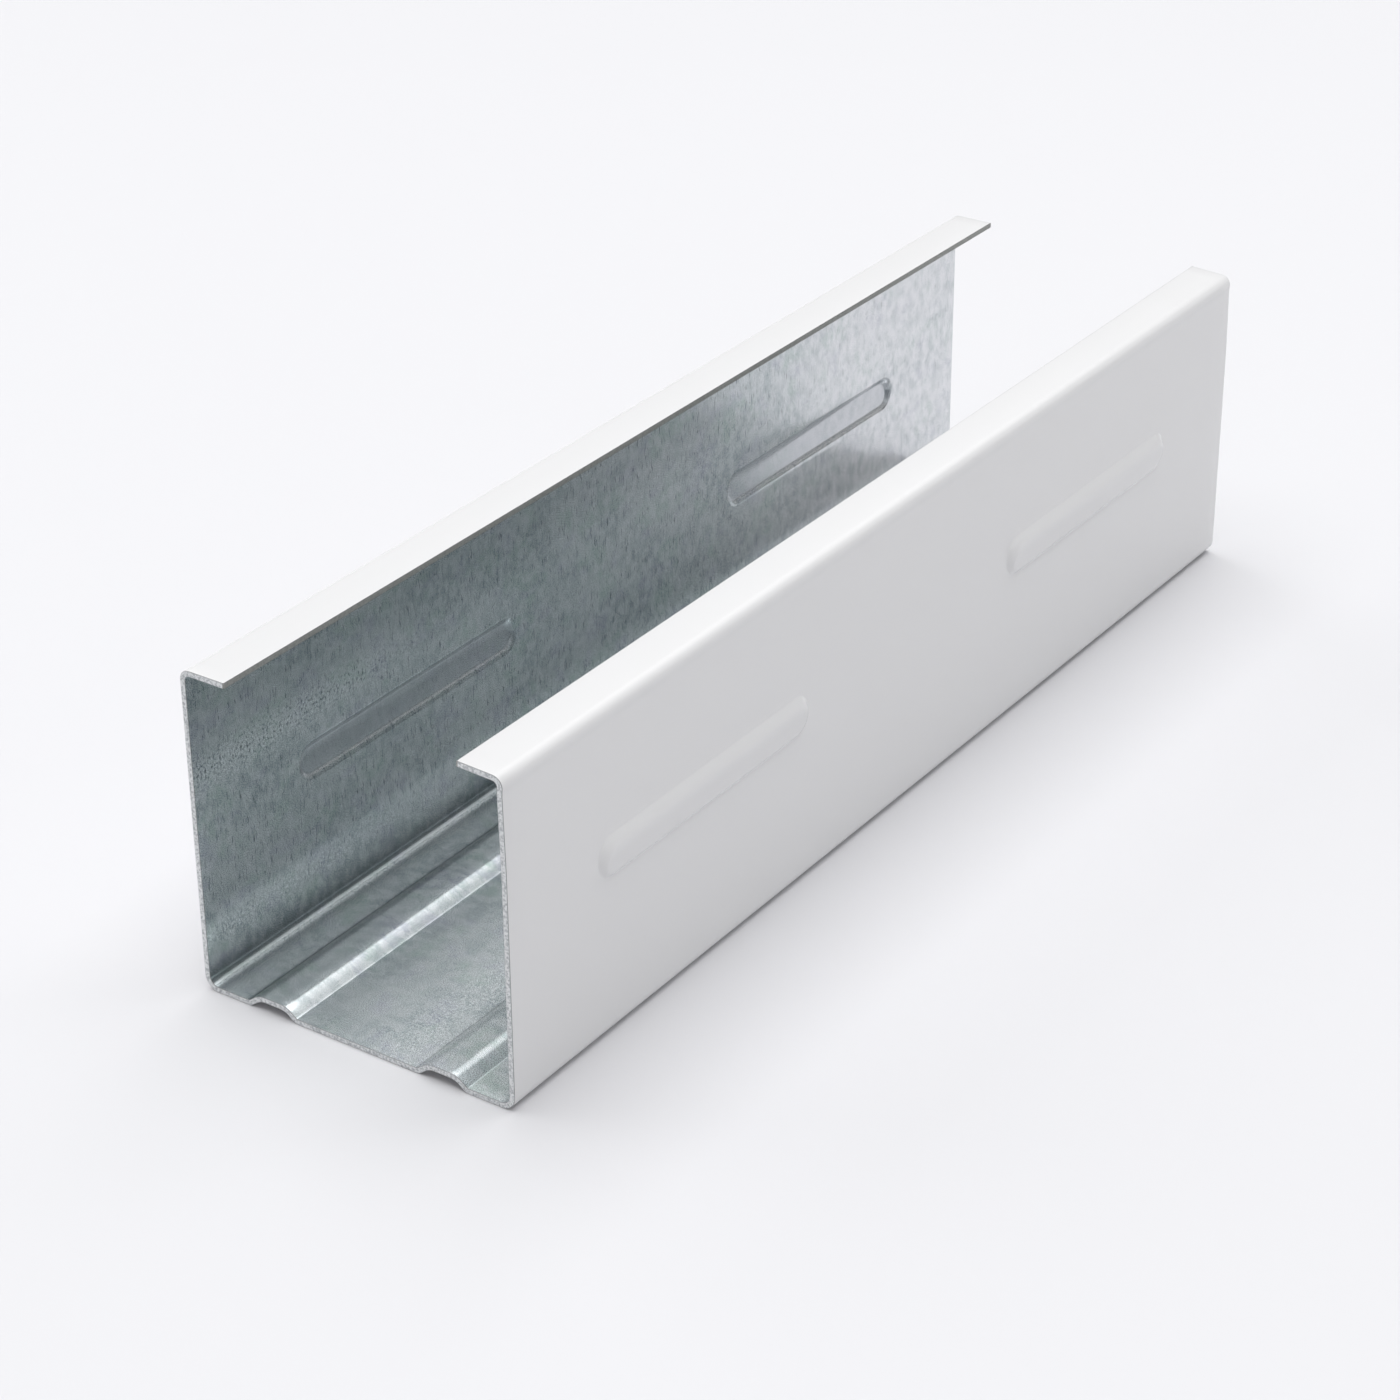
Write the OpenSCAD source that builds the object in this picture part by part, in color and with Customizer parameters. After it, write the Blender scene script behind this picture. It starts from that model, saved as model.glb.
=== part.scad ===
// Lipped C-section stud for dry lining, rolled from one strip of thin steel sheet.
// The web lies on the XY plane with the open side up, and the stud runs along X.
// Two ribs are rolled into the web and a row of long beads is pressed out of each flange.

/* [Stud] */
// Length of the piece of stud
stud_l = 186; // [60:1:1200]
// Width of the web, over the flanges
web_w = 50; // [42:0.5:100]
// Thickness of the sheet
sheet_t = 0.8; // [0.5:0.1:1.2]
// Inside radius of the bends between web and flanges
web_bend_r = 1.3; // [0.5:0.1:2.5]
// Inside radius of the bends between flanges and lips
lip_bend_r = 0.7; // [0.5:0.1:2]

/* [Flanges and lips] */
// Height of the wide flange, on the -Y side
wide_flange_h = 47.6; // [36:0.1:60]
// Height of the narrow flange, on the +Y side
narrow_flange_h = 47; // [36:0.1:60]
// Width of the wide flange's lip, over the flange
wide_lip_w = 6.7; // [5:0.1:12]
// Width of the narrow flange's lip, over the flange
narrow_lip_w = 7.2; // [5:0.1:12]

/* [Web ribs] */
// Distance from the middle of the web to the middle of each rib
rib_offset = 13.7; // [6:0.1:16]
// Width of a rib at its foot
rib_w = 7.4; // [5:0.1:10]
// Rise of a rib above the web
rib_h = 1.3; // [0.5:0.1:2]
// Slope of a rib's walls, in degrees
rib_angle = 40; // [30:1:60]
// Inside radius of the bends at a rib's foot
rib_foot_r = 0.3; // [0.2:0.1:0.8]
// Inside radius of the bends at a rib's crest
rib_crest_r = 2.3; // [0.3:0.1:3]

/* [Flange beads] */
// Length of a bead at its foot
bead_l = 47; // [12:0.5:48]
// Width of a bead at its foot
bead_w = 5.5; // [4:0.1:10]
// Depth that a bead is pressed outwards
bead_d = 0.95; // [0.5:0.05:1.4]
// Slope of a bead's walls, in degrees
bead_angle = 38; // [30:1:60]
// Inside radius of the bends at a bead's foot
bead_foot_r = 0.3; // [0.2:0.1:0.8]
// Inside radius of the bends at a bead's crest
bead_crest_r = 1.5; // [0.3:0.1:3.5]
// Distance between the middles of neighbouring beads
bead_pitch = 100; // [60:1:200]
// Least distance from a bead to the stud's end
bead_end_gap = 5; // [4:1:20]
// Height of the beads on the wide flange
wide_bead_z = 26.4; // [8:0.1:28]
// Height of the beads on the narrow flange
narrow_bead_z = 23.5; // [8:0.1:28]
// Shift of the wide flange's beads along the stud
wide_bead_shift = -1; // [-2:0.1:2]
// Shift of the narrow flange's beads along the stud
narrow_bead_shift = 0.5; // [-2:0.1:2]

/* [Hidden] */
$fn = 48;
// Steps in each bend of a rib or bead
form_steps = 5;
half_w = web_w / 2;
web_outer_r = web_bend_r + sheet_t;
lip_outer_r = lip_bend_r + sheet_t;
bead_run = bead_l - bead_w;
bead_count = max(1, 1 + floor((stud_l - bead_l - 2 * bead_end_gap) / bead_pitch));
// The two skins of the sheet: the one that a tool pushes, and the one that stands proud
PUSHED = 0;
PROUD = 1;
// Side of the stud, flange height, lip width, bead height and bead shift
WIDE = [-1, wide_flange_h, wide_lip_w, wide_bead_z, wide_bead_shift];
NARROW = [1, narrow_flange_h, narrow_lip_w, narrow_bead_z, narrow_bead_shift];
// The pressed forms: width at the foot, rise, slope of the walls, and radii of foot and crest
RIB = [rib_w, rib_h, rib_angle, rib_foot_r, rib_crest_r];
BEAD = [bead_w, bead_d, bead_angle, bead_foot_r, bead_crest_r];

function reversed(points) = [for (i = [len(points) - 1 : -1 : 0]) points[i]];

function arc(centre, r, from, to) =
    [for (i = [0 : form_steps])
        let (a = from + (to - from) * i / form_steps)
        centre + r * [sin(a), cos(a)]];

// One wall of a pressed form, from its foot to its crest. Each point is [distance from the form's
// middle, rise above the pushed face]. Both skins turn about the same centres, so the sheet keeps
// its thickness round the bends. The crest's bend is as wide as the wall and crest leave room for.
function form_wall(form, skin) =
    let (
        half = form[0] / 2,
        h = form[1],
        slope = form[2],
        foot_r = form[3],
        crest_room = (half - h / tan(slope)) / tan(slope / 2),
        wall_room = h / (1 - cos(slope)) - foot_r - sheet_t,
        crest_r = min(form[4], 0.95 * crest_room, 0.95 * wall_room),
        foot = [half + (foot_r + sheet_t) * tan(slope / 2), foot_r + sheet_t],
        crest = [half - h / tan(slope) - crest_r * tan(slope / 2), h - crest_r],
        foot_skin_r = skin == PUSHED ? foot_r + sheet_t : foot_r,
        crest_skin_r = skin == PUSHED ? crest_r : crest_r + sheet_t
    )
    concat(arc(foot, foot_skin_r, 180, 180 + slope), arc(crest, crest_skin_r, slope, 0));

function rib_line(middle, skin) =
    let (wall = form_wall(RIB, skin))
    concat(
        [for (p = wall) [middle - p[0], p[1]]],
        [for (p = reversed(wall)) [middle + p[0], p[1]]]
    );

function web_line(skin) = concat(
    [[web_outer_r - half_w, skin * sheet_t]],
    rib_line(-rib_offset, skin),
    rib_line(rib_offset, skin),
    [[half_w - web_outer_r, skin * sheet_t]]
);

// A rectangle between two opposite corners
module strip(p, q) {
    polygon([p, [q[0], p[1]], q, [p[0], q[1]]]);
}

// A quarter bend about centre, on the side of the given outer corner
module bend(centre, r, corner) {
    intersection() {
        difference() {
            translate(centre) circle(r + sheet_t);
            translate(centre) circle(r);
        }
        strip(centre, corner);
    }
}

module flange_and_lip(flange) {
    side = flange[0];
    h = flange[1];
    lip_w = flange[2];
    web_end = side * (half_w - web_outer_r);
    lip_end = side * (half_w - lip_outer_r);
    bend([web_end, web_outer_r], web_bend_r, [side * half_w, 0]);
    strip([side * half_w, web_outer_r], [side * (half_w - sheet_t), h - lip_outer_r]);
    bend([lip_end, h - lip_outer_r], lip_bend_r, [side * half_w, h]);
    strip([lip_end, h], [side * (half_w - lip_w), h - sheet_t]);
}

module section() {
    polygon(concat(web_line(PUSHED), reversed(web_line(PROUD))));
    flange_and_lip(WIDE);
    flange_and_lip(NARROW);
}

// One skin of a bead, standing on its foot: a straight run with half-round ends
module bead(skin, foot_z) {
    wall = form_wall(BEAD, skin);
    half = concat([[0, foot_z], [wall[0][0], foot_z]], wall, [[0, bead_d + skin * sheet_t]]);
    for (end = [-1, 1]) {
        translate([end * bead_run / 2, 0, 0]) rotate_extrude() polygon(half);
    }
    rotate([90, 0, 90]) linear_extrude(bead_run, center = true) {
        polygon(half);
        mirror([1, 0]) polygon(half);
    }
}

// A row of bead skins on one flange, facing out of the stud
module bead_row(flange, skin, foot_z) {
    side = flange[0];
    for (i = [0 : bead_count - 1]) {
        x = (i - (bead_count - 1) / 2) * bead_pitch + flange[4];
        translate([x, side * (half_w - sheet_t), flange[3]]) {
            rotate([-90 * side, 0, 0]) bead(skin, foot_z);
        }
    }
}

module stud() {
    color([0.78, 0.79, 0.8]) difference() {
        union() {
            rotate([90, 0, 90]) linear_extrude(stud_l, center = true) section();
            for (flange = [WIDE, NARROW]) bead_row(flange, PROUD, sheet_t / 2);
        }
        for (flange = [WIDE, NARROW]) bead_row(flange, PUSHED, -sheet_t);
    }
}

stud();
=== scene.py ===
"""A short length of drywall stud, with its finishes, a floor, softboxes and a camera.

The stud is one strip of galvanised steel sheet, painted white on one side and rolled to a lipped
C section. Here it is one closed surface of two parameters: the distance across the strip, along
its rolled path, and the way round the thin slab of the sheet, along one skin and back along the
other. Lengths are in millimetres until the mesh is made.
"""
import math

import bpy
import numpy as np
from mathutils import Matrix, Vector


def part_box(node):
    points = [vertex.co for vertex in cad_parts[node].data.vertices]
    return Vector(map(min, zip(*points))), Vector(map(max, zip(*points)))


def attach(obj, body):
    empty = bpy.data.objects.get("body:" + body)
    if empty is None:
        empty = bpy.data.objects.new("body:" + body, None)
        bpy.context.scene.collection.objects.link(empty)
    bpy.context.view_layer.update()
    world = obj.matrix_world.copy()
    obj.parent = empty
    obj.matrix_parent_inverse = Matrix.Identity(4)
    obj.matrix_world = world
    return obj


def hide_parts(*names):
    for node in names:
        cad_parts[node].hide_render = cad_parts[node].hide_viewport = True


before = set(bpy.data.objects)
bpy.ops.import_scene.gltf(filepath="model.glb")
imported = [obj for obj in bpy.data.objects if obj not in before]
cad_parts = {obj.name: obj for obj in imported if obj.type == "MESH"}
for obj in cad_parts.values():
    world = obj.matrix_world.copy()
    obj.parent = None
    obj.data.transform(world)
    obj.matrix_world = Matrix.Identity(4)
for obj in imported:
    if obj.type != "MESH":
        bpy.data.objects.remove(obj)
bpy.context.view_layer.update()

MM = 0.001

# ------------------------------------------------------------------ sizes of the stud, in mm

BOX_LOW, BOX_HIGH = (np.array(corner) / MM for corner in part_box("stud"))
HALF_LENGTH = (BOX_HIGH[0] - BOX_LOW[0]) / 2
HALF_WEB = 25.0
# Thickness of the sheet, and how deep the beads are pressed
SHEET = 0.8
BEAD_DEPTH = 0.95
# Heights of the flanges and widths of their lips. The narrow flange is slightly lower
WIDE_FLANGE = BOX_HIGH[2]
NARROW_FLANGE = WIDE_FLANGE - 0.6
WIDE_LIP, NARROW_LIP = 6.7, 7.2
# The wide flange's lip has sprung back a little, so its tip stands highest
SPRING = math.radians(2.6)
# Its bend was turned slightly too far, which the flange makes good in a short stretch below it
OVERBEND, EASING = math.radians(9), 1.2
# The top of this flange leans in a little: its angle, and the straight and the curved stretch
LEAN, LEAN_STRAIGHT, LEAN_CURVE = math.radians(1.3), 7.0, 6.0
# Radius of the bends, at the middle of the sheet
WEB_BEND = 1.3 + SHEET / 2
LIP_BEND = 0.7 + SHEET / 2
# Pressed forms: width at the foot, rise, slope of the walls, and inside radius of the foot and
# crest bends
RIB = (7.4, 1.3, math.radians(37.5), 0.3, 2.3)
BEAD = (5.5, BEAD_DEPTH, math.radians(38), 0.3, 1.5)
# The crest of a bead slopes: it is deepest on the lip's side and runs out towards the web. Its
# angle, how far it runs, and the height over which it blends into the walls
CREST_TILT, CREST_RUN, CREST_BLEND = math.radians(8), 3.0, 0.12
# Places of the ribs, from the middle of the web
RIB_PLACES = (-13.7, 13.7)
BEAD_LENGTH = 47.0
# Height of each flange's beads, and the middles of the beads along the stud
WIDE_BEADS = (26.4, (-51.0, 49.0))
NARROW_BEADS = (23.5, (-49.5, 50.5))
# Rounding of the sheared edges
EDGE_ROUND = 0.07
# A quarter turn
QUARTER = math.pi / 2

# Longest steps between neighbouring points across the strip: on the flats and round the bends of
# the section, on a rib's walls, round its foot bends and its crest bends, and over a bead
FLAT_STEP, BEND_STEP = 3.0, 0.27
RIB_STEP, RIB_FOOT_STEP, RIB_CREST_STEP = 0.6, 0.1, 0.15
BEAD_STEP = 0.18
# The same along the stud: on the straight, and over the half-round ends of the beads
LENGTH_STEP, BEAD_END_STEP = 2.6, 0.19
# A point that is no further than this from the one before it is left out
CROWDED = 0.08
# Where a lip's rounded edge has its points, as shares of the rounding, and the steps round each
# corner of a cut end and across its face
EDGE_POINTS = np.array([0, 0.13, 0.5, 1])
CORNER_STEPS, FACE_STEPS = 3, 4
# Sides of the sheet, in the order of their finishes
PAINT, ZINC, CUT = 0, 1, 2


def bends_of(form):
    """Where a form's foot bend starts and its crest bend ends, as distances from the form's spine,
    and each bend's radius at the middle of the sheet. Both skins turn about the same centres."""
    width, rise, slope, foot_inside, crest_inside = form
    foot = width / 2 + (foot_inside + SHEET) * math.tan(slope / 2)
    crest = width / 2 - rise / math.tan(slope) - crest_inside * math.tan(slope / 2)
    return foot, foot_inside + SHEET / 2, crest, crest_inside + SHEET / 2


def form_rise(distance, form):
    """Rise of the sheet's middle layer at a distance from the form's spine, and its slope there.

    From the foot inwards it is an arc, 1 - cos of the angle turned, then a straight wall, then
    an arc the other way up to the flat crest.
    """
    foot, foot_radius, crest, crest_radius = bends_of(form)
    rise, slope = form[1:3]
    foot_turn, crest_turn = foot_radius * math.sin(slope), crest_radius * math.sin(slope)
    foot_sine = np.clip(foot - distance, 0, foot_turn) / foot_radius
    crest_sine = np.clip(distance - crest, 0, crest_turn) / crest_radius
    on_foot = foot_radius * (1 - np.sqrt(1 - foot_sine**2))
    wall = foot - foot_turn - crest_turn - crest
    on_wall = np.clip(foot - foot_turn - distance, 0, wall) * math.tan(slope)
    below_crest = crest_radius * (1 - np.sqrt(1 - crest_sine**2))
    past_wall = distance < crest + crest_turn
    height = np.where(past_wall, rise - below_crest, on_foot + on_wall)
    sine = np.where(past_wall, crest_sine, foot_sine)
    return height, -sine / np.sqrt(1 - sine**2)


# Straight stretches of the wide flange and its lip: what its height and the lip's width leave
# beside the bends
WIDE_LIP_RUN = (WIDE_LIP - SHEET / 2 - LIP_BEND * (1 - math.sin(SPRING))) / math.cos(SPRING)
WIDE_RUN = (
    WIDE_FLANGE
    - SHEET / 2 * (1 + math.cos(SPRING))
    - WIDE_LIP_RUN * math.sin(SPRING)
    - LIP_BEND * (math.cos(SPRING) + math.sin(OVERBEND))
    - EASING * math.sin(OVERBEND) / OVERBEND
    - (LEAN_STRAIGHT + LEAN_CURVE) * math.cos(LEAN / 2)
    - WEB_BEND
)
WIDE_TURN = QUARTER - SPRING + OVERBEND - LEAN
# The strip's path across the section, from the wide flange's lip to the narrow flange's lip: the
# length of each stretch and how far it turns
PATH = {
    "wide_lip": (WIDE_LIP_RUN, 0),
    "wide_lip_bend": (LIP_BEND * WIDE_TURN, WIDE_TURN),
    "wide_easing": (EASING, -OVERBEND),
    "wide_top": (LEAN_STRAIGHT, 0),
    "wide_lean": (LEAN_CURVE, LEAN),
    "wide_flange": (WIDE_RUN, 0),
    "wide_web_bend": (WEB_BEND * QUARTER, QUARTER),
    "web": (2 * (HALF_WEB - SHEET / 2 - WEB_BEND), 0),
    "narrow_web_bend": (WEB_BEND * QUARTER, QUARTER),
    "narrow_flange": (NARROW_FLANGE - SHEET - LIP_BEND - WEB_BEND, 0),
    "narrow_lip_bend": (LIP_BEND * QUARTER, QUARTER),
    "narrow_lip": (NARROW_LIP - SHEET / 2 - LIP_BEND, 0),
}
LENGTHS, TURNS = np.array(list(PATH.values())).T
# Where the stretches meet across the strip, and the path's heading there
JOINS = np.append(0, np.cumsum(LENGTHS))
HEADINGS = math.pi + SPRING + np.append(0, np.cumsum(TURNS))
START = dict(zip(PATH, JOINS))
STRIP_WIDTH = JOINS[-1]
WEB_MIDDLE = START["web"] + PATH["web"][0] / 2
# Where the ribs' and the beads' spines lie across the strip
RIB_LINES = tuple(WEB_MIDDLE + place for place in RIB_PLACES)
WIDE_BEAD_LINE = START["wide_web_bend"] - (WIDE_BEADS[0] - SHEET / 2 - WEB_BEND)
NARROW_BEAD_LINE = START["narrow_flange"] + (NARROW_BEADS[0] - SHEET / 2 - WEB_BEND)
# Each row's line, which way the web is from it, and the middles of its beads
BEAD_ROWS = ((WIDE_BEAD_LINE, 1, WIDE_BEADS[1]), (NARROW_BEAD_LINE, -1, NARROW_BEADS[1]))
HALF_SPINE = (BEAD_LENGTH - BEAD[0]) / 2


def section(across):
    """Place (y, z) and heading of the strip's middle layer at each station across it.

    The heading turns evenly along a bend, so a step of length d that turns by t moves by the
    chord d * sin(t / 2) / (t / 2) in the direction of the mean heading.
    """
    heading = np.interp(across, JOINS, HEADINGS)
    half_turn = np.diff(heading) / 2
    chord = np.diff(across) * np.sinc(half_turn / math.pi)
    mean = heading[:-1] + half_turn
    y = np.append(0, np.cumsum(chord * np.cos(mean)))
    z = np.append(0, np.cumsum(chord * np.sin(mean)))
    web_start, web_end = np.searchsorted(across, [START["web"], START["narrow_web_bend"]])
    return y - (y[web_start] + y[web_end]) / 2, z - z[web_start] + SHEET / 2, heading


def bead_rise(across, along, line, web_side, middle):
    """Rise of one bead out of the stud, and its slopes across and along the strip.

    It is the pressed profile over the distance from the bead's spine, a straight line, so its
    ends are half round. Its sloping crest cuts the profile off: the lower of the two counts,
    blended by their mix less blend * share * (1 - share), where share is the profile's part of
    the mix.
    """
    offset = across - line
    past_end = np.sign(along - middle) * np.maximum(np.abs(along - middle) - HALF_SPINE, 0)
    distance = np.maximum(np.hypot(offset, past_end), 1e-9)
    height, slope = form_rise(distance, BEAD)
    past_ridge = np.clip(web_side * offset + bends_of(BEAD)[2], 0, CREST_RUN)
    crest = BEAD_DEPTH - math.tan(CREST_TILT) * past_ridge
    on_crest = (past_ridge > 0) & (past_ridge < CREST_RUN)
    crest_slope = -web_side * math.tan(CREST_TILT) * on_crest
    share = np.clip(0.5 + (crest - height) / (2 * CREST_BLEND), 0, 1)
    rise = share * height + (1 - share) * crest - CREST_BLEND * share * (1 - share)
    slope_across = share * slope * offset / distance + (1 - share) * crest_slope
    return rise, slope_across, share * slope * past_end / distance


def pressed(across, along):
    """Rise of all the pressed forms out of the stud, and its slopes across and along the strip.

    A rib is the pressed profile over the distance from its line. It runs the whole length and
    rises into the stud, so it counts as negative.
    """
    rise = np.zeros(np.broadcast(across, along).shape)
    slope_across, slope_along = rise.copy(), rise.copy()
    for line in RIB_LINES:
        offset = across - line
        height, slope = form_rise(np.abs(offset), RIB)
        rise -= height
        slope_across -= slope * np.sign(offset)
    for line, web_side, middles in BEAD_ROWS:
        for middle in middles:
            height, tilt_across, tilt_along = bead_rise(across, along, line, web_side, middle)
            rise += height
            slope_across += tilt_across
            slope_along += tilt_along
    return rise, slope_across, slope_along


def spaced(start, end, step):
    """Even stations from start to end, at most one step apart."""
    return np.linspace(start, end, int(math.ceil((end - start) / step)) + 1)


def merged(runs, kept):
    """The stations of several runs in order, without those that crowd the one before them. The
    kept stations all stay."""
    stations = np.unique(np.concatenate([kept, *runs]))
    alone = np.append(True, np.diff(stations) > CROWDED)
    before_kept = np.append(np.isin(stations[1:], kept) & ~alone[1:], False)
    return stations[(alone & ~before_kept) | np.isin(stations, kept)]


def stations_across():
    """Stations across the strip: coarse on the flats, fine over bends, ribs and beads."""
    runs = [spaced(0, STRIP_WIDTH, FLAT_STEP)]
    for bend in np.flatnonzero(TURNS):
        runs.append(spaced(JOINS[bend], JOINS[bend + 1], BEND_STEP))
    foot, foot_radius, crest, crest_radius = bends_of(RIB)
    sine = math.sin(RIB[2])
    for line in RIB_LINES:
        for side in (-1, 1):
            runs.append(line + side * spaced(0, foot, RIB_STEP))
            runs.append(line + side * spaced(foot - foot_radius * sine, foot, RIB_FOOT_STEP))
            runs.append(line + side * spaced(crest, crest + crest_radius * sine, RIB_CREST_STEP))
    foot = bends_of(BEAD)[0]
    for line, _, _ in BEAD_ROWS:
        runs.append(line + spaced(-foot, foot, BEAD_STEP))
    rounding = EDGE_ROUND * EDGE_POINTS
    return merged(runs, np.concatenate([JOINS, rounding, STRIP_WIDTH - rounding]))


def stations_along():
    """Stations along the stud: fine over the half-round ends of the beads."""
    end = HALF_LENGTH - EDGE_ROUND
    bead_ends = spaced(HALF_SPINE, HALF_SPINE + bends_of(BEAD)[0], BEAD_END_STEP)
    runs = [spaced(-end, end, LENGTH_STEP)]
    for _, _, middles in BEAD_ROWS:
        for middle in middles:
            runs += [middle - bead_ends, middle + bead_ends]
    return merged(runs, np.array([-end, end]))


def slab_outline():
    """The outline of the sheet seen edge on, from above the painted skin round to the zinc skin.

    Returns each point's place along the stud and through the sheet, which is positive at the
    paint, the side that the stretch to the next point is on, and how many points a skin and a
    cut end have.
    """
    along = stations_along()
    half = SHEET / 2
    turn = np.linspace(0, QUARTER, CORNER_STEPS + 1)[1:]
    corner_along = HALF_LENGTH - EDGE_ROUND * (1 - np.sin(turn))
    corner_through = half - EDGE_ROUND * (1 - np.cos(turn))
    face = np.linspace(corner_through[-1], -corner_through[-1], FACE_STEPS + 1)[1:-1]
    end_along = np.concatenate([corner_along, np.full(len(face), HALF_LENGTH), corner_along[::-1]])
    end_through = np.concatenate([corner_through, face, -corner_through[::-1]])
    places = np.concatenate([along, end_along, along[::-1], -end_along])
    through = np.concatenate(
        [np.full(len(along), half), end_through, np.full(len(along), -half), -end_through]
    )
    skin, end = len(along) - 1, len(end_along) + 1
    sides = np.repeat([PAINT, CUT, ZINC, CUT], [skin, end, skin, end])
    return places, through, sides, len(along), len(end_along)


def sheet_points(across, along, through):
    """Points of the sheet, their places through it, and the pressed rise at each.

    A point is the middle layer's place on its rolled path, plus the pressed rise and the place
    through the sheet, both along the outward normal. The normal of the pressed layer is the
    path's normal less each slope times its direction.
    """
    y, z, heading = (values[:, None] for values in section(across))
    rise, slope_across, slope_along = pressed(across[:, None], along[None, :])
    out_y, out_z = np.sin(heading), -np.cos(heading)
    on_y, on_z = np.cos(heading), np.sin(heading)
    size = np.sqrt(1 + slope_across**2 + slope_along**2)
    normal_x = -slope_along / size
    normal_y = (out_y - slope_across * on_y) / size
    normal_z = (out_z - slope_across * on_z) / size
    # The sheet thins to a rounded edge at the lips' tips
    edge = np.clip(EDGE_ROUND - np.minimum(across, STRIP_WIDTH - across), 0, None)
    thinning = EDGE_ROUND - np.sqrt(EDGE_ROUND**2 - edge**2)
    depth = through * (1 - thinning[:, None] / (SHEET / 2))
    points = np.stack(
        [
            along + depth * normal_x,
            y + rise * out_y + depth * normal_y,
            z + rise * out_z + depth * normal_z,
        ],
        axis=-1,
    )
    return points, depth, rise


def sheet_faces(across, sides, skin_count, end_count):
    """Faces of the sheet, and the side of the sheet that each is on.

    The skins and the cut ends are one grid, across the strip and round its outline. At each lip's
    tip it is closed by strips from skin to skin, and by one face of the few points at each end.
    """
    rows, columns = len(across), len(sides)
    index = np.arange(rows * columns).reshape(rows, columns)
    turned = np.roll(index, -1, axis=1)
    quads = np.stack([index[:-1], index[1:], turned[1:], turned[:-1]], axis=-1)
    quad_sides = np.broadcast_to(sides, (rows - 1, columns)).copy()
    at_tip = (across[1:] <= EDGE_ROUND + 1e-6) | (across[:-1] >= STRIP_WIDTH - EDGE_ROUND - 1e-6)
    quad_sides[at_tip] = CUT
    lead = np.arange(skin_count)
    back = 2 * skin_count + end_count - 1 - lead
    far_end = np.arange(skin_count - 1, skin_count + end_count + 1)
    near_end = np.append(np.arange(2 * skin_count + end_count - 1, columns), 0)
    strip = np.stack([lead[:-1], lead[1:], back[1:], back[:-1]], axis=-1)
    first, last = index[0], index[-1]
    caps = np.concatenate([first[strip], last[strip[:, ::-1]]])
    ends = [first[far_end], first[near_end], last[far_end[::-1]], last[near_end[::-1]]]
    faces = quads.reshape(-1, 4).tolist() + caps.tolist() + [end.tolist() for end in ends]
    return faces, np.append(quad_sides, np.full(len(caps) + len(ends), CUT))


def sheet_surface():
    """Points, faces, sides and material coordinates of the whole sheet as one closed surface."""
    across = stations_across()
    along, through, sides, skin_count, end_count = slab_outline()
    points, depth, rise = sheet_points(across, along, through)
    faces, face_sides = sheet_faces(across, sides, skin_count, end_count)
    places = [part.ravel() for part in np.broadcast_arrays(along, across[:, None], depth, rise)]
    return points.reshape(-1, 3), faces, face_sides, places


# ---------------------------------------------------------------------------- materials


def srgb(hex_code):
    """Linear RGBA of an sRGB hex colour."""
    shares = [int(hex_code[i:i + 2], 16) / 255 for i in (1, 3, 5)]
    linear = [c / 12.92 if c <= 0.04045 else ((c + 0.055) / 1.055) ** 2.4 for c in shares]
    return (*linear, 1.0)


def add(tree, kind, settings=(), inputs=()):
    """Adds a node with its settings. An input is a value, or another node's output to link."""
    made = tree.nodes.new(kind)
    for name, value in dict(settings).items():
        setattr(made, name, value)
    for socket, value in dict(inputs).items():
        if isinstance(value, bpy.types.NodeSocket):
            tree.links.new(value, made.inputs[socket])
        else:
            made.inputs[socket].default_value = value
    return made


# How far each layer's clouds are shifted from those of the layer below, and all of them sideways
CLOUD_SHIFT, CLOUDS_ASIDE = 7.3, 3.1


def layered(tree, place, ground, layers):
    """The colour of a finish: cloudy tints laid one by one over a ground colour.

    A layer is the size of its clouds along and across the strip in mm, how often their detail
    halves, the noise at which the tint starts and is full, its share there and its colour.
    Returns the colour, and each layer's noise from 0 to 1 by the layer's name.
    """
    colour, clouds = ground, {}
    for number, (name, layer) in enumerate(layers.items()):
        along, across, detail, start, full, share, tint = layer
        grid = add(
            tree,
            "ShaderNodeMapping",
            {},
            {
                "Vector": place,
                "Scale": (1 / along, 1 / across, 1),
                "Location": (CLOUD_SHIFT * number, CLOUDS_ASIDE, 0),
            },
        )
        noise = add(
            tree,
            "ShaderNodeTexNoise",
            {"noise_dimensions": "2D"},
            {"Vector": grid.outputs[0], "Scale": 1.0, "Detail": detail, "Roughness": 0.6},
        )
        shown = add(
            tree,
            "ShaderNodeMapRange",
            {"interpolation_type": "SMOOTHSTEP"},
            {"Value": noise.outputs[0], "From Min": start, "From Max": full, "To Max": share},
        )
        mixed = add(
            tree,
            "ShaderNodeMix",
            {"data_type": "RGBA"},
            {0: shown.outputs[0], 6: colour, 7: srgb(tint)},
        )
        colour, clouds[name] = mixed.outputs[2], noise.outputs[0]
    return colour, clouds


def new_finish(name):
    """An empty material, with its node tree and its place on the flat strip: mm along the stud
    and across the strip, before it was rolled."""
    made = bpy.data.materials.new(name)
    made.use_nodes = True
    made.node_tree.nodes.clear()
    place = add(made.node_tree, "ShaderNodeUVMap", {"uv_map": "strip"}).outputs[0]
    return made, made.node_tree, place


# Size of the clouds in which the coil coat dulls, in mm along and across the strip
DULL_ALONG, DULL_ACROSS = 14, 9


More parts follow.
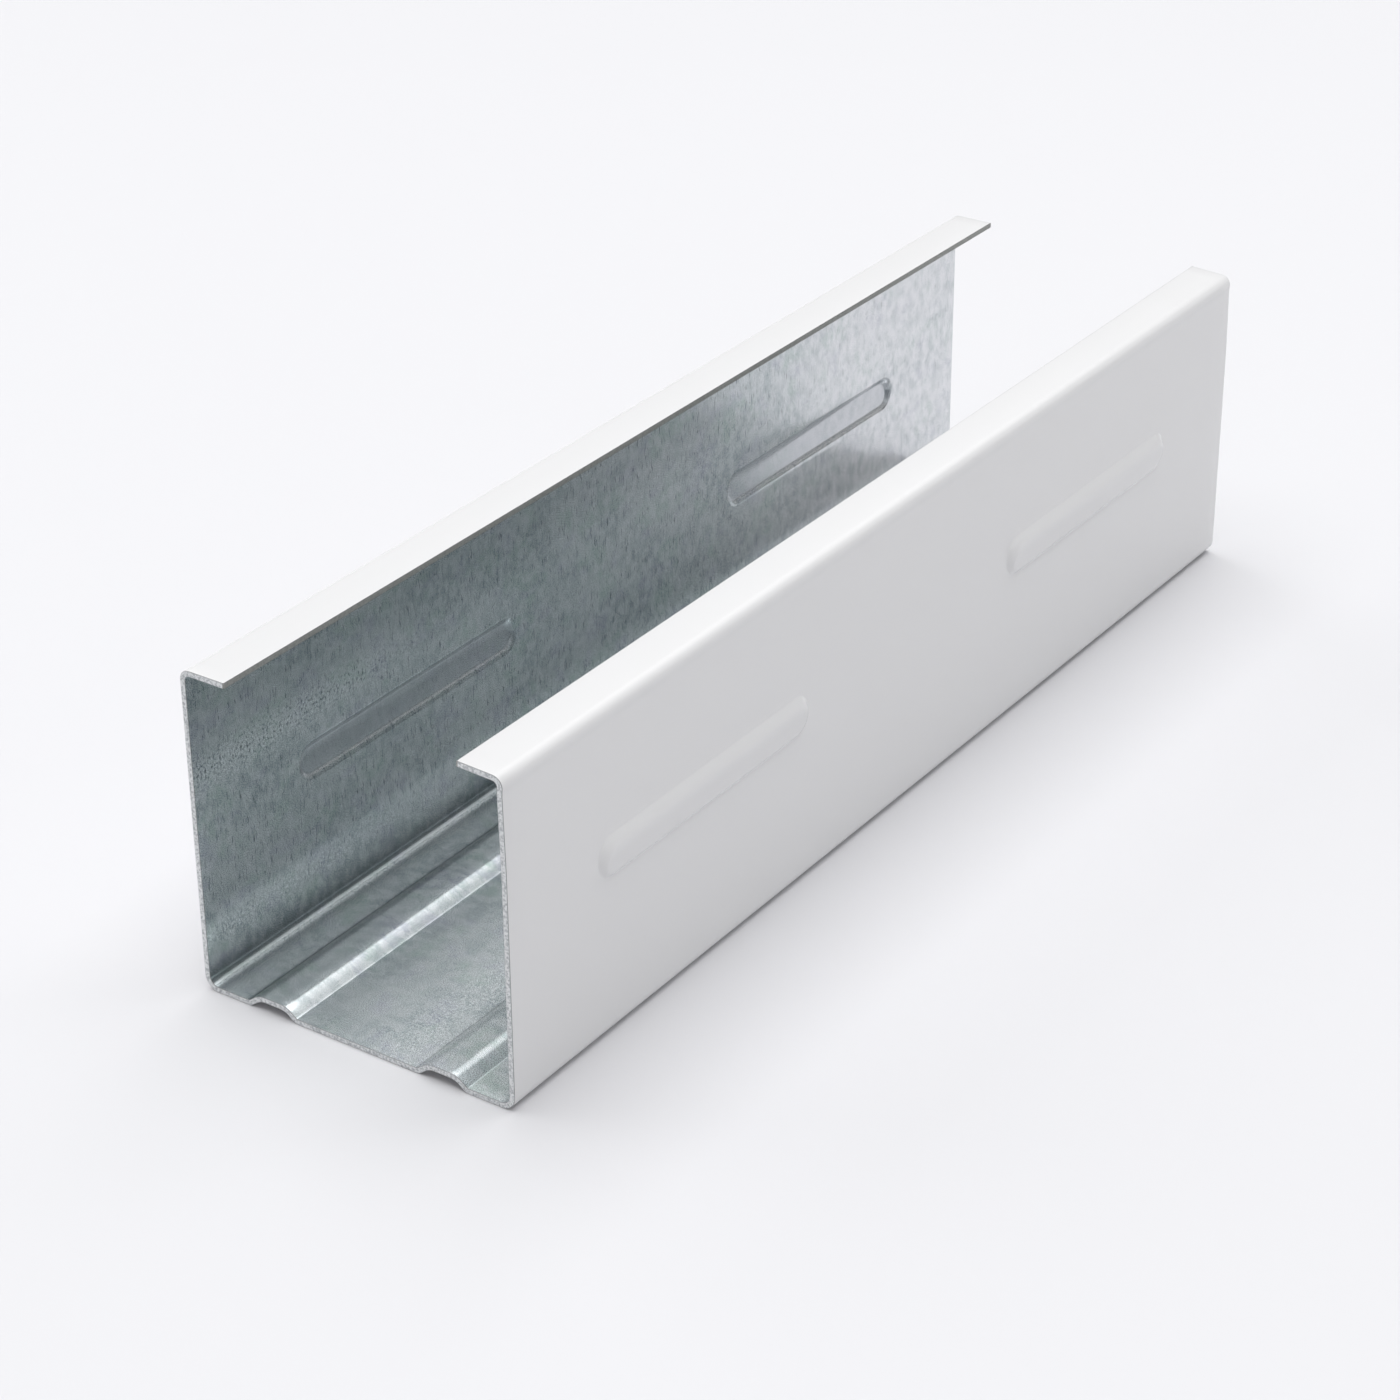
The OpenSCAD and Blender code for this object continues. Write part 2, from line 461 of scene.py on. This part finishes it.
def coil_coat():
    """Polyester coil coat, baked on the flat strip: smooth, white and satin. Its gloss gives soft
    highlights along the bends, and it dulls a little in broad clouds."""
    made, tree, place = new_finish("white_coil_coat")
    grid = add(
        tree,
        "ShaderNodeMapping",
        {},
        {"Vector": place, "Scale": (1 / DULL_ALONG, 1 / DULL_ACROSS, 1)},
    )
    cloud = add(
        tree,
        "ShaderNodeTexNoise",
        {"noise_dimensions": "2D"},
        {"Vector": grid.outputs[0], "Scale": 1.0, "Detail": 2.0},
    )
    roughness = add(
        tree,
        "ShaderNodeMapRange",
        {},
        {"Value": cloud.outputs[0], "From Min": 0.3, "From Max": 0.7, "To Min": 0.21, "To Max": 0.25},
    )
    shader = add(
        tree,
        "ShaderNodeBsdfPrincipled",
        {},
        {"Base Color": srgb("#E1E1E2"), "Roughness": roughness.outputs[0]},
    )
    add(tree, "ShaderNodeOutputMaterial", {}, {"Surface": shader.outputs[0]})
    return made


# Tints that the zinc skin's clouds and short marks have, as layered() takes them. The finest ones
# are drawn a little coarser than they are, so that they show
ZINC_CLOUDS = {
    "cloud": (16, 11, 2.0, 0.35, 0.65, 1.0, "#BFC6C8"),
    "green": (9, 6, 2.0, 0.5, 0.68, 0.6, "#B0C1BB"),
    "violet": (7, 5, 2.0, 0.52, 0.7, 0.5, "#B4B5C4"),
    "mottle": (1.6, 2.2, 2.0, 0.38, 0.66, 0.65, "#D2D7D9"),
    "fleck": (0.4, 0.5, 2.0, 0.4, 0.7, 0.3, "#D8DCDE"),
    "grain": (0.12, 0.12, 0.0, 0.3, 0.7, 0.05, "#E6E8EA"),
}
ZINC_MARKS = {
    "mark": (0.26, 2.6, 1.5, 0.37, 0.27, 0.6, "#69757B"),
    "scratch": (0.4, 2.0, 3.0, 0.34, 0.28, 0.75, "#565F63"),
}
# Where across the strip the narrow flange would meet the floor if it ran straight down, so that
# a height can be added to it
FLANGE_FOOT = START["narrow_flange"] - WEB_BEND - SHEET / 2
# Bands along the strip, on the inner skin: the line across the strip that each follows, its half
# width in mm, how much of its share it keeps towards the far end, its share at the near end, the
# speckle at which it starts and is full, and its tint
# The pale tint gives scuffs, and a painted highlight along the narrow flange's bend. The dark tint
# gives dark specks of dirt, and painted shade in the corner at that flange's foot and in the creases
# at the ribs' feet.
SCUFFS_AND_HIGHLIGHT, DIRT_AND_SHADE = "#E4E9EA", "#555E62"
BANDS = (
    (FLANGE_FOOT + 31.3, 4.8, 0.15, 0.9, 0.4, 0.65, SCUFFS_AND_HIGHLIGHT),
    (FLANGE_FOOT + 31.8, 3.6, 0.15, 0.9, 0.38, 0.31, DIRT_AND_SHADE),
    (FLANGE_FOOT + 7.6, 3.0, 0.2, 0.9, 0.42, 0.62, SCUFFS_AND_HIGHLIGHT),
    # Painted shade in the corner at the narrow flange's foot, even all along the stud
    (FLANGE_FOOT + 1.2, 4.5, 1.0, 0.6, -1.0, -0.5, DIRT_AND_SHADE),
    # A painted highlight along the narrow flange's bend, speckled
    (START["narrow_web_bend"] + 0.3, 0.9, 1.0, 0.6, 0.3, 0.5, SCUFFS_AND_HIGHLIGHT),
    # Painted shade in the creases at the ribs' feet
    (RIB_LINES[1] + 3.9, 0.7, 1.0, 0.6, -1.0, -0.5, DIRT_AND_SHADE),
    (RIB_LINES[0] + 3.9, 0.5, 1.0, 0.4, -1.0, -0.5, DIRT_AND_SHADE),
    (WEB_MIDDLE - 6.5, 7.0, 0.2, 0.7, 0.45, 0.62, SCUFFS_AND_HIGHLIGHT),
)
# How far a band's sides wander, as a share of its half width, and where along the stud the near
# end's share of it starts to give way and has given way
RAGGED = 1 / 3
NEAR_FADE = (-75.0, -40.0)


def banded(tree, along, across, colour, wander, speckle):
    """The zinc's colour with the long soft bands laid over it: scuffs, dirt, painted shade and a
    painted highlight, each with ragged sides and broken up by a speckle."""
    for line, half_width, far_share, share, start, full, tint in BANDS:
        ragged = add(
            tree,
            "ShaderNodeMath",
            {"operation": "MULTIPLY_ADD"},
            {0: wander, 1: half_width * RAGGED, 2: across},
        )
        offset = add(
            tree,
            "ShaderNodeMath",
            {"operation": "SUBTRACT"},
            {0: ragged.outputs[0], 1: line + half_width * RAGGED / 2},
        )
        distance = add(tree, "ShaderNodeMath", {"operation": "ABSOLUTE"}, {0: offset.outputs[0]})
        across_share = add(
            tree,
            "ShaderNodeMapRange",
            {"interpolation_type": "SMOOTHSTEP"},
            {"Value": distance.outputs[0], "From Min": half_width, "From Max": 0.0},
        )
        along_share = add(
            tree,
            "ShaderNodeMapRange",
            {"interpolation_type": "SMOOTHSTEP"},
            {
                "Value": along,
                "From Min": NEAR_FADE[0],
                "From Max": NEAR_FADE[1],
                "To Min": share,
                "To Max": share * far_share,
            },
        )
        grains = add(
            tree,
            "ShaderNodeMapRange",
            {},
            {"Value": speckle, "From Min": start, "From Max": full},
        )
        band = add(
            tree,
            "ShaderNodeMath",
            {"operation": "MULTIPLY"},
            {0: across_share.outputs[0], 1: along_share.outputs[0]},
        )
        shown = add(
            tree,
            "ShaderNodeMath",
            {"operation": "MULTIPLY"},
            {0: band.outputs[0], 1: grains.outputs[0]},
        )
        mixed = add(
            tree,
            "ShaderNodeMix",
            {"data_type": "RGBA"},
            {0: shown.outputs[0], 6: colour, 7: srgb(tint)},
        )
        colour = mixed.outputs[2]
    return colour


# Heights on the narrow flange between which its marks set in, places along the stud between which the
# zinc gets paler, a painted sheen, and places between which it gets smoother
MARKS_SET_IN = (3, 7)
FAR_SHEEN, SMOOTHER = (25.0, 65.0), (-10.0, 40.0)


def marks_and_far_sheen(tree, along, across, colour, marked, mottle):
    """The zinc's colour with its marks on the narrow flange alone, and with a painted sheen that
    makes it paler and more mottled towards the far end, over the zinc's own mottle."""
    on_flange = add(
        tree,
        "ShaderNodeMapRange",
        {"interpolation_type": "SMOOTHSTEP"},
        {
            "Value": across,
            "From Min": FLANGE_FOOT + MARKS_SET_IN[0],
            "From Max": FLANGE_FOOT + MARKS_SET_IN[1],
        },
    )
    flange = add(
        tree,
        "ShaderNodeMix",
        {"data_type": "RGBA"},
        {0: on_flange.outputs[0], 6: colour, 7: marked},
    )
    # Painted sheen: paler towards the far end, laid in the zinc's mottle
    sheen_share = add(
        tree,
        "ShaderNodeMapRange",
        {"interpolation_type": "SMOOTHSTEP"},
        {"Value": along, "From Min": FAR_SHEEN[0], "From Max": FAR_SHEEN[1], "To Max": 1.3},
    )
    patchy = add(
        tree, "ShaderNodeMath", {"operation": "MULTIPLY"}, {0: sheen_share.outputs[0], 1: mottle}
    )
    far = add(
        tree,
        "ShaderNodeMix",
        {"data_type": "RGBA"},
        {0: patchy.outputs[0], 6: flange.outputs[2], 7: srgb("#E0E1E4")},
    )
    return far.outputs[2]


# Rise at the middle of the line of painted shade along a bead's foot, how far the line reaches above
# and below that, and how far from the middle of the bead it sets in
LINE_RISE, LINE_REACH = 0.11, 0.08
LINE_SETS_IN = (1, 2)


def bead_shading(tree, across, colour):
    """The zinc's colour in the pressed beads: painted shade that evens and dims it inside each bead,
    and on the narrow flange a line of painted shade along the bead's foot, on the side that is next
    to the lip."""
    rise = add(tree, "ShaderNodeAttribute", {"attribute_name": "rise"}).outputs["Fac"]
    # Painted shade inside the beads: the zinc mixes towards a flat grey as the rise grows
    bead_shade = add(
        tree,
        "ShaderNodeMapRange",
        {"interpolation_type": "SMOOTHSTEP"},
        {"Value": rise, "From Min": 0.1, "From Max": 0.4, "To Max": 0.55},
    )
    inside = add(
        tree,
        "ShaderNodeMix",
        {"data_type": "RGBA"},
        {0: bead_shade.outputs[0], 6: colour, 7: srgb("#BDC0C5")},
    )
    # A line of painted shade along the bead's foot, on the lip's side of the narrow flange
    lip_side = add(
        tree,
        "ShaderNodeMapRange",
        {},
        {
            "Value": across,
            "From Min": NARROW_BEAD_LINE + LINE_SETS_IN[0],
            "From Max": NARROW_BEAD_LINE + LINE_SETS_IN[1],
            "To Max": 0.3,
        },
    )
    foot = add(
        tree,
        "ShaderNodeMath",
        {"operation": "COMPARE"},
        {0: rise, 1: LINE_RISE, 2: LINE_REACH},
    )
    line = add(
        tree,
        "ShaderNodeMath",
        {"operation": "MULTIPLY"},
        {0: lip_side.outputs[0], 1: foot.outputs[0]},
    )
    shaded_line = add(
        tree,
        "ShaderNodeMix",
        {"data_type": "RGBA"},
        {0: line.outputs[0], 6: inside.outputs[2], 7: srgb("#454C50")},
    )
    return shaded_line.outputs[2]


# How far from the middle of the web, towards the narrow flange, the dull bloom begins to thin and
# has gone, and how far its side wanders
BLOOM_THINS = (1, 13)
BLOOM_WANDER = 5.0


def zinc_gloss(tree, along, across, clouds):
    """Roughness and metallic of the zinc. Its crystals are smooth or rough by turns, and smoother
    towards the far end. A dull bloom has grown on it from the wide lip to the middle of the web."""
    haze = add(
        tree,
        "ShaderNodeMapRange",
        {"interpolation_type": "SMOOTHSTEP"},
        {"Value": clouds["grain"], "From Min": 0.4, "From Max": 0.6, "To Min": 0.19, "To Max": 0.45},
    )
    smoother = add(
        tree,
        "ShaderNodeMapRange",
        {"interpolation_type": "SMOOTHSTEP"},
        {
            "Value": along,
            "From Min": SMOOTHER[0],
            "From Max": SMOOTHER[1],
            "To Min": 1.0,
            "To Max": 0.7,
        },
    )
    roughness = add(
        tree,
        "ShaderNodeMath",
        {"operation": "MULTIPLY"},
        {0: haze.outputs[0], 1: smoother.outputs[0]},
    )
    ragged = add(
        tree,
        "ShaderNodeMath",
        {"operation": "MULTIPLY_ADD"},
        {0: clouds["mottle"], 1: BLOOM_WANDER, 2: across},
    )
    bloom = add(
        tree,
        "ShaderNodeMapRange",
        {"interpolation_type": "SMOOTHSTEP"},
        {
            "Value": ragged.outputs[0],
            "From Min": WEB_MIDDLE + BLOOM_THINS[1],
            "From Max": WEB_MIDDLE + BLOOM_THINS[0],
            "To Min": 0.95,
            "To Max": 0.55,
        },
    )
    return roughness.outputs[0], bloom.outputs[0]


def zinc_skin():
    """Hot-dip zinc, left bare on the inner skin: blue-grey, softly clouded and mottled, and softly
    metallic. It has pale scuffs along flange and web and dark specks on the narrow flange, and the
    wipers left a few short dark marks across the strip. A painted highlight runs along the narrow
    flange's bend, painted shade lies in the corner at that flange's foot, in the creases at the ribs'
    feet and in the beads, and a painted sheen pales it towards the far end. Its smooth and rough
    crystals give both the clear and the hazy part of its shine."""
    made, tree, place = new_finish("galvanised_zinc")
    colour, clouds = layered(tree, place, srgb("#A9B3B6"), ZINC_CLOUDS)
    marked, _ = layered(tree, place, colour, ZINC_MARKS)
    parts = add(tree, "ShaderNodeSeparateXYZ", {}, {"Vector": place})
    along, across = parts.outputs["X"], parts.outputs["Y"]
    colour = marks_and_far_sheen(tree, along, across, colour, marked, clouds["mottle"])
    colour = bead_shading(tree, across, colour)
    colour = banded(tree, along, across, colour, clouds["mottle"], clouds["fleck"])
    roughness, metallic = zinc_gloss(tree, along, across, clouds)
    relief = add(
        tree,
        "ShaderNodeBump",
        {},
        {"Height": clouds["mottle"], "Distance": 0.004 * MM, "Strength": 1.0},
    )
    crystals = add(
        tree,
        "ShaderNodeBump",
        {},
        {"Height": clouds["grain"], "Distance": 0.0005 * MM, "Normal": relief.outputs[0]},
    )
    shader = add(
        tree,
        "ShaderNodeBsdfPrincipled",
        {},
        {
            "Base Color": colour,
            "Metallic": metallic,
            "Roughness": roughness,
            "Normal": crystals.outputs[0],
        },
    )
    add(tree, "ShaderNodeOutputMaterial", {}, {"Surface": shader.outputs[0]})
    return made


# Size of the grain of a cut face, how far the slit edges' dark age reaches in from the strip's
# borders, how wide the dark line along each skin is and how far it wanders, all in mm
CUT_GRAIN = 0.3846
SLIT_REACH = (0.1, 0.3)
SKIN_LINE_WIDTH, SKIN_LINE_WANDER = 0.09, 0.16


def sheared_edge():
    """Bare steel where the strip was slit and the stud was cut off. The saw left a light, grainy face
    at the ends, with a thin dark line along each skin. The slit edges of the lips are older and
    darker."""
    made, tree, place = new_finish("sheared_steel")
    object_place = add(tree, "ShaderNodeTexCoord").outputs["Object"]
    grid = add(
        tree,
        "ShaderNodeMapping",
        {},
        {"Vector": object_place, "Scale": (1 / (CUT_GRAIN * MM),) * 3},
    )
    grain = add(
        tree,
        "ShaderNodeTexNoise",
        {},
        {"Vector": grid.outputs[0], "Scale": 1.0, "Detail": 3.0, "Roughness": 0.65},
    )
    light = add(
        tree,
        "ShaderNodeMapRange",
        {"interpolation_type": "SMOOTHSTEP"},
        {"Value": grain.outputs[0], "From Min": 0.35, "From Max": 0.6},
    )
    face = add(
        tree,
        "ShaderNodeMix",
        {"data_type": "RGBA"},
        {0: light.outputs[0], 6: srgb("#B9BDC0"), 7: srgb("#F0F2F3")},
    )
    across = add(tree, "ShaderNodeSeparateXYZ", {}, {"Vector": place}).outputs["Y"]
    offset = add(
        tree, "ShaderNodeMath", {"operation": "SUBTRACT"}, {0: across, 1: STRIP_WIDTH / 2}
    )
    from_middle = add(tree, "ShaderNodeMath", {"operation": "ABSOLUTE"}, {0: offset.outputs[0]})
    slit = add(
        tree,
        "ShaderNodeMapRange",
        {},
        {
            "Value": from_middle.outputs[0],
            "From Min": STRIP_WIDTH / 2 - SLIT_REACH[1],
            "From Max": STRIP_WIDTH / 2 - SLIT_REACH[0],
            "To Max": 0.8,
        },
    )
    aged = add(
        tree,
        "ShaderNodeMix",
        {"data_type": "RGBA"},
        {0: slit.outputs[0], 6: face.outputs[2], 7: srgb("#84847F")},
    )
    depth = add(tree, "ShaderNodeAttribute", {"attribute_name": "through"})
    distance = add(tree, "ShaderNodeMath", {"operation": "ABSOLUTE"}, {0: depth.outputs["Fac"]})
    wander = add(
        tree,
        "ShaderNodeMath",
        {"operation": "MULTIPLY_ADD"},
        {0: grain.outputs[0], 1: SKIN_LINE_WANDER, 2: -SKIN_LINE_WANDER / 2},
    )
    skin_line = add(
        tree, "ShaderNodeMath", {"operation": "ADD"}, {0: distance.outputs[0], 1: wander.outputs[0]}
    )
    line = add(
        tree,
        "ShaderNodeMapRange",
        {"interpolation_type": "SMOOTHSTEP"},
        {
            "Value": skin_line.outputs[0],
            "From Min": SHEET / 2 - SKIN_LINE_WIDTH,
            "From Max": SHEET / 2,
            "To Max": 0.8,
        },
    )
    colour = add(
        tree,
        "ShaderNodeMix",
        {"data_type": "RGBA"},
        {0: line.outputs[0], 6: aged.outputs[2], 7: srgb("#505355")},
    )
    relief = add(tree, "ShaderNodeBump", {}, {"Height": grain.outputs[0], "Distance": 0.02 * MM})
    shader = add(
        tree,
        "ShaderNodeBsdfPrincipled",
        {},
        {
            "Base Color": colour.outputs[2],
            "Metallic": 0.2,
            "Roughness": 0.5,
            "Normal": relief.outputs[0],
        },
    )
    add(tree, "ShaderNodeOutputMaterial", {}, {"Surface": shader.outputs[0]})
    return made


# -------------------------------------------------------------------------------- pieces


FINISHES = {PAINT: coil_coat, ZINC: zinc_skin, CUT: sheared_edge}


def make_stud():
    """The stud's sheet as a mesh with its three finishes, its place on the flat strip as a UV map,
    and its place through the sheet and the pressed rise as attributes."""
    points, faces, sides, (along, across, through, rise) = sheet_surface()
    mesh = bpy.data.meshes.new("stud_sheet")
    mesh.from_pydata((points * MM).tolist(), [], faces)
    for side in (PAINT, ZINC, CUT):
        mesh.materials.append(FINISHES[side]())
    mesh.polygons.foreach_set("material_index", sides.astype(np.int32))
    mesh.polygons.foreach_set("use_smooth", np.ones(len(faces), bool))
    corners = np.zeros(len(mesh.loops), np.int32)
    mesh.loops.foreach_get("vertex_index", corners)
    strip = mesh.uv_layers.new(name="strip")
    strip.uv.foreach_set("vector", np.stack([along, across], axis=-1)[corners].ravel())
    for name, values in (("through", through), ("rise", rise)):
        mesh.attributes.new(name, "FLOAT", "POINT").data.foreach_set("value", values)
    mesh.update()
    stud = bpy.data.objects.new("stud_sheet", mesh)
    bpy.context.scene.collection.objects.link(stud)
    return stud


stud = make_stud()
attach(stud, "root")
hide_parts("stud")


# ---------------------------------------------------------------------- floor, light, camera

# How far the floor reaches from the stud's middle, in metres
FLOOR_REACH = 4.0


def make_floor():
    """A plain pale floor of studio paper."""
    sides = np.array([-1, 1]) * FLOOR_REACH
    corners = [(x, y, 0) for x in sides for y in sides]
    mesh = bpy.data.meshes.new("floor")
    mesh.from_pydata(corners, [], [(0, 2, 3, 1)])
    paper = bpy.data.materials.new("studio_paper")
    paper.use_nodes = True
    shader = paper.node_tree.nodes["Principled BSDF"]
    shader.inputs["Base Color"].default_value = srgb("#DDDDE0")
    shader.inputs["Roughness"].default_value = 0.6
    mesh.materials.append(paper)
    floor = bpy.data.objects.new("floor", mesh)
    bpy.context.scene.collection.objects.link(floor)
    return floor


make_floor()


# Softboxes round the stud: heading from +X towards +Y and elevation in degrees, distance, width
# and height in metres, and brightness, where 1 is a white wall's
SOFTBOXES = {
    "overhead_softbox": (0, 90, 1.5, 1.5, 1.5, 2.63),
    "key_softbox": (36, 70, 1.5, 1.3, 1.3, 0.66),
    "rear_softbox": (-9, 49, 1.5, 1.55, 0.7, 1.15),
    "left_panel": (90, 25, 1.6, 1.8, 1.4, 1.27),
    "right_panel": (-105, 22, 1.8, 1.8, 1.1, 0.65),
    "right_softbox": (-90, 62, 1.5, 1.4, 1.0, 0.18),
    "side_panel": (-50, 28, 1.6, 0.8, 0.6, 0.24),
    "low_panel": (-10, 12, 1.5, 1.5, 0.5, 0.3),
}


def add_softbox(name, heading, elevation, distance, width, height, brightness):
    """A rectangular softbox that faces the stud's middle.

    Its power is its brightness times its area times pi, as a matt white panel would send out.
    """
    turn, lift = math.radians(heading), math.radians(elevation)
    away = Vector((math.cos(lift) * math.cos(turn), math.cos(lift) * math.sin(turn), math.sin(lift)))
    light = bpy.data.lights.new(name, "AREA")
    light.shape = "RECTANGLE"
    light.size, light.size_y = width, height
    light.energy = brightness * width * height * math.pi
    box = bpy.data.objects.new(name, light)
    box.location = away * distance
    box.rotation_mode = "QUATERNION"
    box.rotation_quaternion = (-away).to_track_quat("-Z", "Y")
    bpy.context.scene.collection.objects.link(box)


for softbox, measures in SOFTBOXES.items():
    add_softbox(softbox, *measures)

# The room's own faint white light
ROOM_LIGHT = 0.23
world = bpy.data.worlds.new("studio")
bpy.context.scene.world = world
world.use_nodes = True
room = world.node_tree.nodes["Background"]
room.inputs["Color"].default_value = srgb("#FFFFFF")
room.inputs["Strength"].default_value = ROOM_LIGHT
bpy.context.scene.view_settings.view_transform = "Standard"

# Camera: a short telephoto lens, held in front of the near end and above it. Heading is from +X
# towards +Y and dip is below the horizon. Sensor and lens are in mm, and what it sees in metres
CAMERA_PLACE = np.array([-374.33, -246.06, 253.56]) * MM
CAMERA_HEADING, CAMERA_DIP, CAMERA_ROLL = (math.radians(a) for a in (34.478, 28.757, 0.35))
SENSOR_WIDTH, LENS = 36.0, 91.22
NEAREST, FARTHEST = 0.01, 20


def make_camera():
    """The camera. Its right-hand direction is level but for the roll."""
    ahead = np.array(
        [
            math.cos(CAMERA_DIP) * math.cos(CAMERA_HEADING),
            math.cos(CAMERA_DIP) * math.sin(CAMERA_HEADING),
            -math.sin(CAMERA_DIP),
        ]
    )
    level = np.array([math.sin(CAMERA_HEADING), -math.cos(CAMERA_HEADING), 0])
    upright = np.cross(level, ahead)
    right = math.cos(CAMERA_ROLL) * level - math.sin(CAMERA_ROLL) * upright
    up = np.cross(right, ahead)
    lens = bpy.data.cameras.new("camera")
    lens.sensor_width = SENSOR_WIDTH
    lens.lens = LENS
    lens.clip_start, lens.clip_end = NEAREST, FARTHEST
    camera = bpy.data.objects.new("camera", lens)
    turn = np.stack([right, up, -ahead], axis=1)
    camera.matrix_world = Matrix(
        [[*turn[i], CAMERA_PLACE[i]] for i in range(3)] + [[0, 0, 0, 1]]
    )
    bpy.context.scene.collection.objects.link(camera)
    return camera


bpy.context.scene.camera = make_camera()
